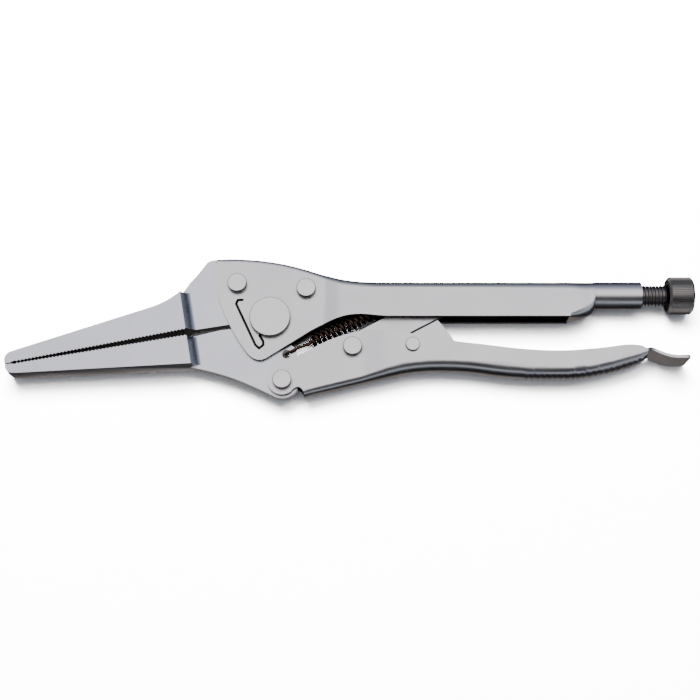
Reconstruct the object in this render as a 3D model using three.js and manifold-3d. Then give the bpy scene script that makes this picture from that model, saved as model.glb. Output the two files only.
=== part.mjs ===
// Long-nose locking pliers: two stamped sheet-steel handles, two forged jaws, an over-centre
// toggle link set by a knurled screw, a release lever and a tension spring that opens the jaws.
//
// Millimetres. X runs along the fixed handle towards the knob, Y from the moving handle to the
// fixed handle, Z through the thickness. The origin is on the axis of the main pivot, on the
// outer face of its lower head. Every shape below is drawn about the middle plane of the tool.
import * as THREE from "three";
import { mergeVertices } from "three/addons/utils/BufferGeometryUtils.js";
import Module from "manifold-3d";

const wasm = await Module();
wasm.setup();

// ---- Driving dimensions ---------------------------------------------------------------

const gap = 0.3; // clearance between any two pieces that touch or slide
const sheet = 1.5; // sheet thickness of both handles
const tang = 3.6; // thickness of the flat part of each jaw, and of the toggle link
const headHeight = 2.1; // rivet heads above the cheeks
const channelRoom = 0.6; // beside what lies inside a handle, on each side

const noseLength = 66.4; // from the step behind the nose to the tip
const noseAngle = THREE.MathUtils.degToRad(10.15); // droop of the nose below the handle axis
const noseRoot = new THREE.Vector2(-30.2, -5.9); // parting line at the step
const noseRootThick = 11.8;
const noseTipThick = 8.6;
const fixedNoseRoot = 15.6; // height of the fixed nose above the parting line at the step
const fixedNoseMid = 11.6; // and where its straight taper begins
const noseMidAt = 11.4; // distance of that place from the step
const fixedNoseTip = 4.0;
const movingNoseRoot = 11.9;
const movingNoseTip = 3.5;
const tipRadius = 2.9; // rounding of both tips, seen from the side
const rootFillet = 3.8; // slope between the step and the flat of the jaw
const noseDraft = 0.6; // the forged outer sides swell by this much at mid thickness
const partingTip = 0.36; // opening between the jaws at the tip
const partingRoot = 2.0; // and at the step
const toothPitch = 1.3;
const toothDepth = 0.45;

const hubRadius = 10; // moving jaw round the main pivot
const tailRadius = 6.2; // moving jaw round the handle pivot
const earRadius = 5.25; // moving handle round the handle pivot

const springOd = 5.8;
const springHook = new THREE.Vector2(6.1, -13.2); // hole in the moving jaw
const springHoleRadius = 1.7;
const slotWidth = 0.95; // of the slot cut round the tongue in the near cheek
const springStart = new THREE.Vector2(15.2, -8.0);
const springEnd = new THREE.Vector2(38.4, 3.35);

const leverWidth = 6.2; // release lever inside the moving handle
const leverSheet = 1.2;
const tailWidth = 12.5; // thumb pad of the lever
const tailReach = 15.3; // how far the pad stands out of the moving handle
const tailCorner = 1.7; // its rounded corners

const fixedFront = -20.1; // front edge of the cheeks
const fixedReach = 136; // main pivot to the end of the tube
const movingReach = 136.6; // main pivot to the end of the moving handle
const fixedTop = 14; // top of the straight fixed handle
const fixedBend = 3.4; // outer radius of its sheet bends there
const fixedFlange = 0.45; // lower edge of its flanges

const screwAxisY = 9.55;
const screwRadius = 3.6; // pitch radius of the M8 thread
const plainRadius = 2.6; // unthreaded front of the screw, free inside the handle
const threadLength = 27; // from the knob forwards
const runout = 2.6; // undercut between the thread and the knob
const tubeRadius = 5.0;
const tubeLength = 17;
const neckLength = 10; // from the end of the flanges to the round tube
const neckWaist = 4.5; // half width of the hollow just before the tube
const flangeRound = 0.9; // rounding of the flange edges where the neck starts
const tubeStep = 0.15; // the tube stands this much proud of the neck's end
const exposedThread = 9.8; // between the tube and the knob
const studRadius = 2; // turned end of the screw inside the knob
const studShort = 2.4; // its end below the knob's outer face
const knobRadius = 6.9;
const knobLength = 9.2;
const knobChamfer = 0.8;

const linkHalf = 4.7; // half the width of the toggle link
const linkEndRadius = 2.7; // round end that meets the screw
const linkSlot = 0.9; // room between the link and the release lever
const toggleRoom = 2.0; // between the link's end and the screw, with the jaws shut

// Pivot axes.
const jawRivetFront = new THREE.Vector2(-12.2, 13.0);
const jawRivetRear = new THREE.Vector2(13.05, 11.05);
const handlePivot = new THREE.Vector2(4.64, -23.4);
const linkPivot = new THREE.Vector2(30.0, -11.0);
const linkKnee = new THREE.Vector2(53.4, 1.6); // where the link bends
const linkEnd = new THREE.Vector2(72.5, 9.2); // centre of the round end
const leverPivot = new THREE.Vector2(51.75, -10.4);

// Rivets: head and shank radii.
const mainHead = 7.4;
const mainShank = 4.5;
const jawHead = 3.5;
const jawShank = 2.4;
const pivotHead = 3.4;
const pivotShank = 2.4;
const leverHead = 2.6;
const leverShank = 1.8;
const leverHeadHeight = 0.8;
const headBevel = 0.35;

// ---- Sizes that follow ----------------------------------------------------------------

const tangHalf = tang / 2;
const cheekInner = tangHalf + gap;
const cheekOuter = cheekInner + sheet;
const headInner = cheekOuter + gap;
const stackHalf = headInner + headHeight; // half the thickness over the main rivet heads
const fixedInner = Math.max(springOd / 2, plainRadius) + channelRoom;
const fixedOuter = fixedInner + sheet;
const movingInner = leverWidth / 2 + channelRoom;
const movingOuter = movingInner + sheet;
const tubeStart = fixedReach - tubeLength;
const neckStart = tubeStart - neckLength;
const screwTip = linkEnd.x + linkEndRadius + toggleRoom;
const knobStart = fixedReach + exposedThread;
const deep = 60; // beyond every outline in the plane of the tool
const arcSteps = 6; // segments of a sheet bend

// ---- Geometry helpers -----------------------------------------------------------------

// A closed three.js geometry as a solid.
function solid(geometry) {
  geometry.deleteAttribute("normal");
  geometry.deleteAttribute("uv");
  const merged = mergeVertices(geometry, 1e-4);
  return new wasm.Manifold(
    new wasm.Mesh({
      numProp: 3,
      vertProperties: new Float32Array(merged.attributes.position.array),
      triVerts: new Uint32Array(merged.index.array),
    }),
  );
}

// A solid back as a three.js geometry.
function surface(body) {
  const mesh = body.getMesh();
  const geometry = new THREE.BufferGeometry();
  geometry.setAttribute("position", new THREE.BufferAttribute(mesh.vertProperties, 3));
  geometry.setIndex(new THREE.BufferAttribute(mesh.triVerts, 1));
  geometry.computeVertexNormals();
  return geometry;
}

// A flat plate of the given outline, between two heights.
function plate(shape, low, high, curveSegments = 10) {
  const options = { depth: high - low, bevelEnabled: false, curveSegments };
  return solid(new THREE.ExtrudeGeometry(shape, options).translate(0, 0, low));
}

// A round bar along Z, centred on the middle plane.
function bar(centre, radius, halfLength, segments = 32) {
  const geometry = new THREE.CylinderGeometry(radius, radius, 2 * halfLength, segments);
  return solid(geometry.rotateX(Math.PI / 2).translate(centre.x, centre.y, 0));
}

function box(x0, x1, y0, y1, z0, z1) {
  const geometry = new THREE.BoxGeometry(x1 - x0, y1 - y0, z1 - z0);
  return solid(geometry.translate((x0 + x1) / 2, (y0 + y1) / 2, (z0 + z1) / 2));
}

// A skin over loops of equally many points, closed by a cap at each end.
function loft(loops) {
  const count = loops[0].length;
  const position = loops.flat().flatMap((p) => [p.x, p.y, p.z]);
  const index = [];
  for (let i = 0; i + 1 < loops.length; i += 1) {
    for (let j = 0; j < count; j += 1) {
      const a = i * count + j;
      const b = i * count + ((j + 1) % count);
      index.push(a, b, b + count, a, b + count, a + count);
    }
  }
  const last = (loops.length - 1) * count;
  const outline = loops[0].map((p) => new THREE.Vector2(p.z, p.y));
  const turn = THREE.ShapeUtils.isClockWise(outline);
  for (const [a, p, q] of THREE.ShapeUtils.triangulateShape(outline, [])) {
    const [b, c] = turn ? [p, q] : [q, p];
    index.push(a, b, c, last + a, last + c, last + b);
  }
  const geometry = new THREE.BufferGeometry();
  geometry.setAttribute("position", new THREE.Float32BufferAttribute(position, 3));
  geometry.setIndex(index);
  return solid(geometry);
}

// A smooth height over x through a few given points, without overshoot between them.
function profile(points) {
  const slopes = points.map((p, i) => {
    const before = points[Math.max(i - 1, 0)];
    const after = points[Math.min(i + 1, points.length - 1)];
    const rise = (p[1] - before[1]) * (after[1] - p[1]);
    const atEnd = i === 0 || i === points.length - 1;
    return rise <= 0 && !atEnd ? 0 : (after[1] - before[1]) / (after[0] - before[0]);
  });
  return (x) => {
    const clamped = Math.min(Math.max(x, points[0][0]), points.at(-1)[0]);
    const i = Math.max(0, points.findIndex((p) => p[0] >= clamped) - 1);
    const [x0, y0] = points[i];
    const [x1, y1] = points[i + 1];
    const t = (clamped - x0) / (x1 - x0);
    const m0 = slopes[i] * (x1 - x0);
    const m1 = slopes[i + 1] * (x1 - x0);
    const blend = t * t * (3 - 2 * t);
    return y0 + (y1 - y0) * blend + m0 * t * (1 - t) ** 2 - m1 * t * t * (1 - t);
  };
}

// Evenly spaced stations, ends included.
function stations(from, to, steps) {
  return Array.from({ length: steps + 1 }, (_, i) => from + ((to - from) * i) / steps);
}

// A bent sheet: the web's outer face follows webAt(x), the flanges run off past every
// outline on the far side, and halfAt and bendAt give the half width and the outer bend.
function channel(xs, side, webAt, halfAt, bendAt) {
  const section = (x, half, web, bend) => {
    const ring = [new THREE.Vector3(x, -side * deep, half)];
    for (let k = 0; k <= 2 * arcSteps + 1; k += 1) {
      const second = k > arcSteps;
      const angle = ((second ? k - 1 : k) / arcSteps) * (Math.PI / 2);
      const centreZ = second ? -(half - bend) : half - bend;
      const z = centreZ + bend * Math.cos(angle);
      ring.push(new THREE.Vector3(x, side * (web - bend + bend * Math.sin(angle)), z));
    }
    ring.push(new THREE.Vector3(x, -side * deep, -half));
    return ring;
  };
  const loops = xs.map((x) => {
    const web = side * webAt(x);
    const bend = bendAt(x);
    const inner = Math.max(bend - sheet, 0.2);
    const outside = section(x, halfAt(x), web, bend);
    const inside = section(x, halfAt(x) - sheet, web - sheet, inner);
    return [...outside, ...inside.reverse()];
  });
  return loft(side < 0 ? loops : loops.map((loop) => loop.reverse()));
}

// A steel piece turned about Z from a half profile of [radius, height] points.
function turned(points, segments = 32) {
  const outline = points.map(([r, h]) => new THREE.Vector2(r, h));
  return solid(new THREE.LatheGeometry(outline, segments).rotateX(Math.PI / 2));
}

// ---- Finishes -------------------------------------------------------------------------

const steel = (color, roughness) =>
  new THREE.MeshStandardMaterial({ color, roughness, metalness: 1 });
const satinNickel = () => steel(0xc6c6c9, 0.32);
const forged = () => steel(0xc2c3c7, 0.3);
const rivetSteel = () => steel(0xcfced1, 0.28);
const darkSteel = () => steel(0x77757a, 0.4);
const springSteel = () => steel(0x4a3a30, 0.42);

// ---- Jaws -----------------------------------------------------------------------------

// A point of the nose: distance from the step towards the tip, and height off the parting line.
function nosePoint(along, up) {
  const c = Math.cos(noseAngle);
  const s = Math.sin(noseAngle);
  return new THREE.Vector2(noseRoot.x - along * c - up * s, noseRoot.y - along * s + up * c);
}

const partingHalf = (along) =>
  (partingRoot + ((partingTip - partingRoot) * along) / noseLength) / 2;

const noseHalfThick = (along) =>
  (noseRootThick + ((noseTipThick - noseRootThick) * along) / noseLength) / 2;

// Height of the nose's outer edge; the last stretch is rounded off to the parting line.
function noseHeight(side, along) {
  const tip = side > 0 ? fixedNoseTip : movingNoseTip;
  const root = side > 0 ? fixedNoseRoot : movingNoseRoot;
  const mid = side > 0 ? fixedNoseMid : root + ((tip - root) * noseMidAt) / noseLength;
  const straight = mid + ((tip - mid) * (along - noseMidAt)) / (noseLength - noseMidAt);
  const flare = Math.max(0, 1 - along / noseMidAt) ** 2;
  const onset = noseMidAt * (mid - tip) / (noseLength - noseMidAt);
  const height = straight + (root - mid - onset) * flare;
  const left = tipRadius - (noseLength - along);
  return left > 0 ? height - tipRadius + Math.sqrt(tipRadius ** 2 - left ** 2) : height;
}

// The thick, toothed nose of one jaw, with the hollow that runs out into its flat tang.
function nose(side) {
  const toothed = noseLength - tipRadius;
  const teeth = Math.floor(toothed / toothPitch);
  const cuts = [];
  for (let i = 0; i < teeth; i += 1) {
    cuts.push([i * toothPitch, toothDepth], [(i + 0.5) * toothPitch, 0]);
  }
  cuts.push([teeth * toothPitch, toothDepth]);
  for (const share of [0.25, 0.55, 0.8, 0.95]) {
    cuts.push([noseLength - tipRadius * (1 - share), 0]);
  }
  const slope = stations(-rootFillet, -rootFillet / 8, 6);
  const slices = [...slope.map((along) => [along, toothDepth]), ...cuts];
  const loops = slices.map(([along, cut]) => {
    const climb = (Math.min(along, 0) + rootFillet) / rootFillet;
    const half = along < 0
      ? tangHalf + (noseRootThick / 2 - tangHalf) * climb ** 1.8
      : noseHalfThick(along);
    const inner = side * (partingHalf(Math.max(along, 0)) + cut);
    const outer = side * noseHeight(side, Math.max(along, 0));
    const swell = outer + side * noseDraft * Math.max(climb, 0) ** 4;
    const ring = [
      [inner, -half],
      [inner, half],
      [outer, half],
      [swell, 0],
      [outer, -half],
    ];
    const points = ring.map(([up, z]) => {
      const p = nosePoint(along, up);
      return new THREE.Vector3(p.x, p.y, z);
    });
    return side < 0 ? points.reverse() : points;
  });
  return loft(loops);
}

// Top of the fixed handle's web over x: high over the jaw rivets, straight from there on.
const fixedWeb = profile([
  [-20.2, 22.9],
  [-14, 23.1],
  [-4, 22.5],
  [4, 21.3],
  [11, 19.6],
  [18.3, 17.45],
  [25.6, 15.3],
  [32, 14.4],
  [42, fixedTop],
  [fixedReach, fixedTop],
]);

function fixedJaw() {
  const rear = jawRivetRear.x + 5.2;
  const bottom = jawRivetRear.y - 4.6;
  const arc = hubRadius + gap;
  const under = sheet + gap;
  const shape = new THREE.Shape();
  const root = nosePoint(2, noseHeight(1, 2) - 1.2);
  const parting = nosePoint(2, partingHalf(0) + toothDepth);
  shape.moveTo(root.x, root.y);
  shape.lineTo(-29.9, 13.9);
  shape.quadraticCurveTo(-27.2, 16.9, -23.9, 21.6);
  shape.quadraticCurveTo(-22.9, 22.9, fixedFront - gap, 22.9);
  for (const x of stations(fixedFront - gap, rear - 1, 12)) {
    shape.lineTo(x, fixedWeb(x) - under);
  }
  shape.lineTo(rear, fixedWeb(rear) - under - 1);
  shape.lineTo(rear, bottom + 1);
  shape.lineTo(rear - 1, bottom);
  shape.lineTo(Math.sqrt(arc ** 2 - bottom ** 2), bottom);
  const startAngle = Math.asin(bottom / arc);
  const endAngle = Math.PI + 0.12;
  shape.absarc(0, 0, arc, startAngle, endAngle, false);
  shape.lineTo(-18.1, -2.5);
  shape.quadraticCurveTo(-22.5, -3.3, parting.x, parting.y);
  shape.closePath();
  return plate(shape, -tangHalf, tangHalf, 14)
    .add(nose(1))
    .subtract(bar(jawRivetFront, jawShank + gap, deep, 24))
    .subtract(bar(jawRivetRear, jawShank + gap, deep, 24));
}

function movingJaw() {
  const shape = new THREE.Shape();
  const lobe = springHoleRadius + 2;
  const belly = nosePoint(3, -noseHeight(-1, 3) + 1);
  const parting = nosePoint(2, -partingHalf(0) - toothDepth);
  shape.moveTo(belly.x, belly.y);
  shape.lineTo(-28.6, -18.1);
  shape.quadraticCurveTo(-18.6, -19.9, -9.5, -23.6);
  const tailStart = Math.PI * 1.32;
  const meet = new THREE.Vector2(tailRadius, 0).rotateAround(new THREE.Vector2(), tailStart);
  shape.quadraticCurveTo(-4.8, -25.6, handlePivot.x + meet.x, handlePivot.y + meet.y);
  shape.absarc(handlePivot.x, handlePivot.y, tailRadius, tailStart, Math.PI * 2, false);
  shape.lineTo(springHook.x + lobe, springHook.y - 1);
  shape.absarc(springHook.x, springHook.y, lobe, 0, Math.PI * 0.4, false);
  shape.absarc(0, 0, hubRadius, -Math.PI * 0.24, Math.PI * 1.1, false);
  shape.lineTo(-18.1, -4.2);
  shape.quadraticCurveTo(-23, -5.3, parting.x, parting.y);
  shape.closePath();
  return plate(shape, -tangHalf, tangHalf, 14)
    .add(nose(-1))
    .subtract(bar(new THREE.Vector2(0, 0), mainShank + gap, deep))
    .subtract(bar(handlePivot, pivotShank + gap, deep, 24))
    .subtract(bar(springHook, springHoleRadius, deep, 20));
}

// ---- Fixed handle ---------------------------------------------------------------------

// The cheek's edge from the web, down the front, round the point and back along the flange.
function fixedOutline() {
  const rear = neckStart + gap;
  const shape = new THREE.Shape();
  shape.moveTo(fixedFront, deep - 1);
  shape.lineTo(fixedFront, 16);
  shape.bezierCurveTo(-19.8, 6, -14.3, -4.4, -9.5, -11.4);
  shape.quadraticCurveTo(-6.6, -15.8, -3.6, -15.8);
  shape.quadraticCurveTo(-2.4, -15.8, -0.9, -14.9);
  shape.lineTo(14.8, -4.8);
  shape.bezierCurveTo(21.5, -1, 27, 1.3, 33, 1.2);
  shape.bezierCurveTo(37, 1.1, 39, fixedFlange, 45, fixedFlange);
  shape.lineTo(rear, fixedFlange);
  shape.lineTo(rear, deep - 1);
  shape.closePath();
  return shape;
}

// A tongue is left standing in the near cheek by a slot shaped like a J, which starts in a
// small hook and turns back under the head of the main rivet.
function tongueSlot() {
  const centre = [
    [-10.2, 6.9],
    [-11.9, 6.8],
    [-12.5, 5.4],
    [-5.2, -10.2],
    [-3.8, -11.5],
    [-2.3, -10.2],
    [-2.4, -8.8],
    [-3.7, -6.7],
  ].map(([x, y]) => new THREE.Vector2(x, y));
  const strokes = centre.slice(1).map((b, i) => {
    const a = centre[i];
    const angle = Math.atan2(b.y - a.y, b.x - a.x);
    const shape = new THREE.Shape();
    shape.absarc(a.x, a.y, slotWidth / 2, angle + Math.PI / 2, angle + Math.PI * 1.5, false);
    shape.absarc(b.x, b.y, slotWidth / 2, angle - Math.PI / 2, angle + Math.PI / 2, false);
    shape.closePath();
    return plate(shape, cheekInner - gap, cheekOuter + gap, 3);
  });
  return strokes.reduce((all, stroke) => all.add(stroke));
}

// The pressed neck that closes the channel's end and draws it down to the round tube.
function neck() {
  const tubeLow = screwAxisY - tubeRadius + tubeStep;
  const tubeTop = screwAxisY + tubeRadius - tubeStep;
  const halfAt = profile([
    [0, fixedOuter],
    [0.45, fixedOuter - 0.1],
    [0.85, neckWaist],
    [1, neckWaist + 0.1],
  ]);
  const loops = stations(0, 1, 9).map((t) => {
    const half = halfAt(t);
    const low = tubeLow - (tubeLow - fixedFlange) * Math.sqrt(1 - t ** 2);
    const top = fixedTop + (tubeTop - fixedTop) * t;
    const round = Math.min(half, (top - low) / 2) - 0.1;
    const upper = Math.min(fixedBend + (round - fixedBend) * t, round);
    const lower = Math.min(flangeRound + (round - flangeRound) * t ** 0.7, round);
    const corners = [
      [top - upper, half - upper, upper, 0],
      [top - upper, -half + upper, upper, 1],
      [low + lower, -half + lower, lower, 2],
      [low + lower, half - lower, lower, 3],
    ];
    return corners.flatMap(([y, z, radius, quarter]) =>
      stations(0, 1, arcSteps).map((share) => {
        const angle = (quarter + share) * (Math.PI / 2);
        return new THREE.Vector3(
          neckStart + t * neckLength,
          y + radius * Math.cos(angle - Math.PI / 2),
          z + radius * Math.sin(angle + Math.PI / 2),
        );
      }),
    );
  });
  return loft(loops.map((loop) => loop.reverse()));
}

function fixedHandle() {
  const wide = profile([
    [19, cheekOuter],
    [27, fixedOuter],
    [neckStart, fixedOuter],
  ]);
  const bend = profile([
    [fixedFront, 1.6],
    [12, 2.0],
    [28, fixedBend - 0.2],
    [neckStart, fixedBend],
  ]);
  const xs = [
    ...stations(fixedFront - 1, 17, 9),
    ...stations(19, 27, 5),
    ...stations(30, 42, 4),
    neckStart + 1,
  ];
  const shell = channel(xs, 1, fixedWeb, wide, bend).intersect(
    plate(fixedOutline(), -fixedOuter - 1, fixedOuter + 1, 12),
  );
  const alongScrew = (radius, from, to, segments) => {
    const geometry = new THREE.CylinderGeometry(radius, radius, to - from, segments);
    return solid(geometry.rotateZ(Math.PI / 2).translate((from + to) / 2, screwAxisY, 0));
  };
  const tube = alongScrew(tubeRadius, tubeStart - gap, fixedReach, 32);
  const bore = alongScrew(screwRadius + gap, neckStart - 1, fixedReach + 1, 28);
  const hookTab = box(43, 43 + sheet, 5.2, fixedTop - sheet / 2, -1.4, 1.4);
  return shell
    .add(neck())
    .add(tube)
    .subtract(bore)
    .add(hookTab)
    .subtract(bar(jawRivetFront, jawShank + gap, deep, 24))
    .subtract(bar(jawRivetRear, jawShank + gap, deep, 24))
    .subtract(bar(new THREE.Vector2(0, 0), mainShank + gap, deep))
    .subtract(tongueSlot());
}

// ---- Moving handle --------------------------------------------------------------------

// Belly of the moving handle: the outer face of its web over x.
const movingWeb = profile([
  [-2, -36],
  [7, -36],
  [11, -29.6],
  [14.8, -28.3],
  [22, -26.6],
  [29.3, -24.8],
  [40, -22.3],
  [51, -19.9],
  [61, -19.2],
  [72, -19.6],
  [movingReach - 52, -21.2],
  [movingReach - 40, -21.8],
  [movingReach - 28, -21.8],
  [movingReach - 16, -20.0],
  [movingReach - 8, -17.9],
  [movingReach - 2.5, -15.9],
  [movingReach, -14.5],
]);

// Upper edge of its flanges over x, from the ears to the open end.
const movingFlange = profile([
  [9.9, -14.4],
  [18.4, -9.9],
  [22, -8.2],
  [29.3, -5.7],
  [35, -4.7],
  [42, -4.9],
  [51, -6.2],
  [60, -7.6],
  [68, -9.3],
  [76, -10.2],
  [movingReach - 46, -12.0],
  [movingReach - 32, -12.7],
  [movingReach - 17, -11.7],
  [movingReach - 6, -10.4],
  [movingReach - 2.6, -10.7],
]);

function movingOutline() {
  const shape = new THREE.Shape();
  shape.moveTo(12.6, -deep + 1);
  shape.lineTo(12.6, -28.2);
  shape.quadraticCurveTo(11.9, -26, 10.4, -25.8);
  shape.quadraticCurveTo(9.4, -25.8, 8.0, -27.2);
  shape.absarc(handlePivot.x, handlePivot.y, earRadius, -0.85, -Math.PI * 1.38, true);
  for (const x of stations(9.9, movingReach - 2.6, 44)) {
    shape.lineTo(x, movingFlange(x));
  }
  shape.quadraticCurveTo(movingReach - 0.4, -11.2, movingReach, -13);
  shape.lineTo(movingReach, -deep + 1);
  shape.closePath();
  return shape;
}

function movingHandle() {
  const wide = profile([
    [33, cheekOuter],
    [45, movingOuter],
    [movingReach, movingOuter],
  ]);
  const bend = profile([
    [12, 2.4],
    [33, 2.6],
    [46, 3.9],
    [movingReach - 8, 4.1],
    [movingReach, 2.9],
  ]);
  const xs = [
    ...stations(-2, 7, 1),
    ...stations(11, 33, 6),
    ...stations(35.4, 45, 4),
    ...stations(48, movingReach - 8, 17),
    ...stations(movingReach - 6, movingReach + 0.5, 4),
  ];
  const shell = channel(xs, -1, movingWeb, wide, bend);
  return shell
    .intersect(plate(movingOutline(), -movingOuter - 1, movingOuter + 1, 12))
    .subtract(bar(handlePivot, pivotShank + gap, deep, 24))
    .subtract(bar(linkPivot, pivotShank + gap, deep, 24))
    .subtract(bar(leverPivot, leverShank + gap, deep, 24));
}

// ---- Toggle link and release lever ----------------------------------------------------

// Outline of a bar with round ends that passes through three centres.
function linkOutline() {
  const shape = new THREE.Shape();
  const first = Math.atan2(linkKnee.y - linkPivot.y, linkKnee.x - linkPivot.x);
  const second = Math.atan2(linkEnd.y - linkKnee.y, linkEnd.x - linkKnee.x);
  const quarter = Math.PI / 2;
  shape.absarc(linkPivot.x, linkPivot.y, linkHalf, first + quarter, first - quarter, false);
  const crook = (first + second) / 2 + quarter;
  const outward = new THREE.Vector2(Math.cos(crook), Math.sin(crook)).multiplyScalar(linkHalf);
  shape.lineTo(linkKnee.x - outward.x, linkKnee.y - outward.y);
  shape.absarc(linkEnd.x, linkEnd.y, linkEndRadius, second - quarter, second + quarter, false);
  shape.lineTo(linkKnee.x + outward.x, linkKnee.y + outward.y);
  shape.closePath();
  return shape;
}

function toggleLink() {
  return plate(linkOutline(), -tangHalf, tangHalf, 14).subtract(
    bar(linkPivot, pivotShank + gap, deep, 24),
  );
}

// Top face of the lever's strip over x: under the handle's edge, then down to the thumb pad.
const leverTop = profile([
  [67.5, -10.2],
  [76, -11.2],
  [movingReach - 46, -13.0],
  [movingReach - 32, -13.8],
  [movingReach - 17, -12.7],
  [movingReach - 6, -11.2],
  [movingReach - 0.8, -10.75],
  [movingReach + 4.2, -13.0],
  [movingReach + 8, -14.3],
  [movingReach + 11.5, -14.6],
  [movingReach + tailReach, -14.4],
]);

// A point under the link's lower edge: distance from its pivot, and depth below the room
// left between the two.
function underLink(distance, depth = 0) {
  const slope = Math.atan2(linkKnee.y - linkPivot.y, linkKnee.x - linkPivot.x);
  const c = Math.cos(slope);
  const s = Math.sin(slope);
  const off = linkHalf + linkSlot + depth;
  return new THREE.Vector2(linkPivot.x + distance * c + off * s, linkPivot.y + distance * s - off * c);
}

// The lever's body from the side: round its rivet, up along the link and down to the strip.
function leverSide() {
  const front = underLink(22.2);
  const peak = underLink(32.2);
  const shape = new THREE.Shape();
  shape.absarc(leverPivot.x, leverPivot.y, 3.9, Math.PI * 0.86, Math.PI * 1.72, false);
  shape.lineTo(68, leverTop(68) - leverSheet - 2.2);
  shape.lineTo(72, leverTop(72) - leverSheet);
  shape.lineTo(72, leverTop(72));
  shape.lineTo(67.9, leverTop(67.9));
  shape.quadraticCurveTo(65.2, -5.2, peak.x + 0.5, peak.y - 0.5);
  shape.lineTo(peak.x, peak.y);
  shape.lineTo(front.x, front.y);
  shape.closePath();
  return shape;
}

// What is open below the bent sheet of the body.
function leverHollow() {
  const front = underLink(18, leverSheet);
  const peak = underLink(28.4, leverSheet);
  const shape = new THREE.Shape();
  shape.moveTo(front.x - 6, front.y - 12);
  shape.lineTo(76, -22);
  shape.lineTo(73, leverTop(73) - leverSheet);
  shape.lineTo(66.6, leverTop(67.5) - leverSheet);
  shape.lineTo(peak.x, peak.y);
  shape.lineTo(front.x, front.y);
  shape.closePath();
  return shape;
}

// The strip from above: narrow inside the handle, wide at the thumb pad.
function leverPlan() {
  const half = leverWidth / 2;
  const pad = tailWidth / 2;
  const shoulder = movingReach + 0.6;
  const end = movingReach + tailReach;
  const shape = new THREE.Shape();
  shape.moveTo(60, -half);
  shape.lineTo(shoulder, -half);
  shape.quadraticCurveTo(shoulder + 0.4, -pad, shoulder + 3, -pad);
  shape.lineTo(end - tailCorner, -pad);
  shape.quadraticCurveTo(end, -pad, end, -pad + tailCorner);
  shape.lineTo(end, pad - tailCorner);
  shape.quadraticCurveTo(end, pad, end - tailCorner, pad);
  shape.lineTo(shoulder + 3, pad);
  shape.quadraticCurveTo(shoulder + 0.4, pad, shoulder, half);
  shape.lineTo(60, half);
  shape.closePath();
  return shape;
}

function releaseLever() {
  const half = leverWidth / 2;
  const xs = stations(66, movingReach + tailReach, 36);
  const strip = new THREE.Shape();
  strip.moveTo(xs[0], leverTop(xs[0]));
  xs.slice(1).forEach((x) => strip.lineTo(x, leverTop(x)));
  [...xs].reverse().forEach((x) => strip.lineTo(x, leverTop(x) - leverSheet));
  strip.closePath();
  const upright = { depth: deep, bevelEnabled: false, curveSegments: 6 };
  const plan = solid(
    new THREE.ExtrudeGeometry(leverPlan(), upright)
      .rotateX(Math.PI / 2)
      .translate(0, deep / 2, 0),
  );
  return plate(leverSide(), -half, half, 10)
    .subtract(plate(leverHollow(), -half + leverSheet, half - leverSheet))
    .add(plate(strip, -tailWidth, tailWidth).intersect(plan))
    .subtract(bar(leverPivot, leverShank + gap, deep, 24));
}

// ---- Screw, knob, spring and rivets ---------------------------------------------------

// The threaded shank as its pitch cylinder, rounded where it meets the link, with the thin
// stud that carries the knob.
function screwShank() {
  const length = knobStart - screwTip;
  return turned(
    [
      [0, 0],
      [plainRadius - 1.2, 0],
      [plainRadius - 0.3, 0.4],
      [plainRadius, 1.3],
      [plainRadius, length - threadLength - 0.6],
      [screwRadius, length - threadLength],
      [screwRadius, length - runout],
      [screwRadius - 0.7, length - runout + 0.4],
      [screwRadius - 0.7, length - gap],
      [studRadius, length - gap],
      [studRadius, length + knobLength - studShort],
      [0, length + knobLength - studShort],
    ],
    28,
  );
}

function knob() {
  const core = studRadius + gap;
  const floor = knobLength - studShort + 0.4;
  return turned(
    [
      [core, 0],
      [knobRadius - knobChamfer, 0],
      [knobRadius, knobChamfer],
      [knobRadius, knobLength - knobChamfer],
      [knobRadius - knobChamfer, knobLength],
      [0, knobLength],
      [0, floor],
      [core, floor],
      [core, 0],
    ],
    36,
  );
}

// The coil as the round bar that its turns fill.
function spring() {
  const axis = new THREE.Vector2().subVectors(springEnd, springStart);
  const middle = new THREE.Vector2().addVectors(springStart, springEnd).divideScalar(2);
  const coil = new THREE.CylinderGeometry(springOd / 2, springOd / 2, axis.length(), 16);
  return solid(coil.rotateZ(axis.angle() + Math.PI / 2).translate(middle.x, middle.y, 0));
}

// A rivet with a head each side; inner is the height of the heads' flat undersides.
function rivet(headRadius, shankRadius, inner = headInner, height = headHeight) {
  const outer = inner + height;
  return turned(
    [
      [0, -outer],
      [headRadius - headBevel, -outer],
      [headRadius, -outer + headBevel],
      [headRadius, -inner],
      [shankRadius, -inner],
      [shankRadius, inner],
      [headRadius, inner],
      [headRadius, outer - headBevel],
      [headRadius - headBevel, outer],
      [0, outer],
    ],
    headRadius > 5 ? 48 : 32,
  );
}

// The lever's rivet has thinner heads, on the outer faces of the wide part of the handle.
function leverRivet() {
  return rivet(leverHead, leverShank, movingOuter + gap, leverHeadHeight);
}

// ---- Assembly -------------------------------------------------------------------------

// The group of pieces that one body of the mechanism carries.
function body(...meshes) {
  return new THREE.Group().add(...meshes);
}

function piece(name, shape, material, place = new THREE.Vector2(0, 0)) {
  const mesh = new THREE.Mesh(surface(shape), material);
  mesh.name = name;
  mesh.position.set(place.x, place.y, 0);
  return mesh;
}

const alongX = (mesh) => {
  mesh.rotation.y = Math.PI / 2;
  return mesh;
};

const origin = new THREE.Vector2(0, 0);
const screwPlace = new THREE.Vector2(screwTip, screwAxisY);
const knobPlace = new THREE.Vector2(knobStart, screwAxisY);

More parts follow.
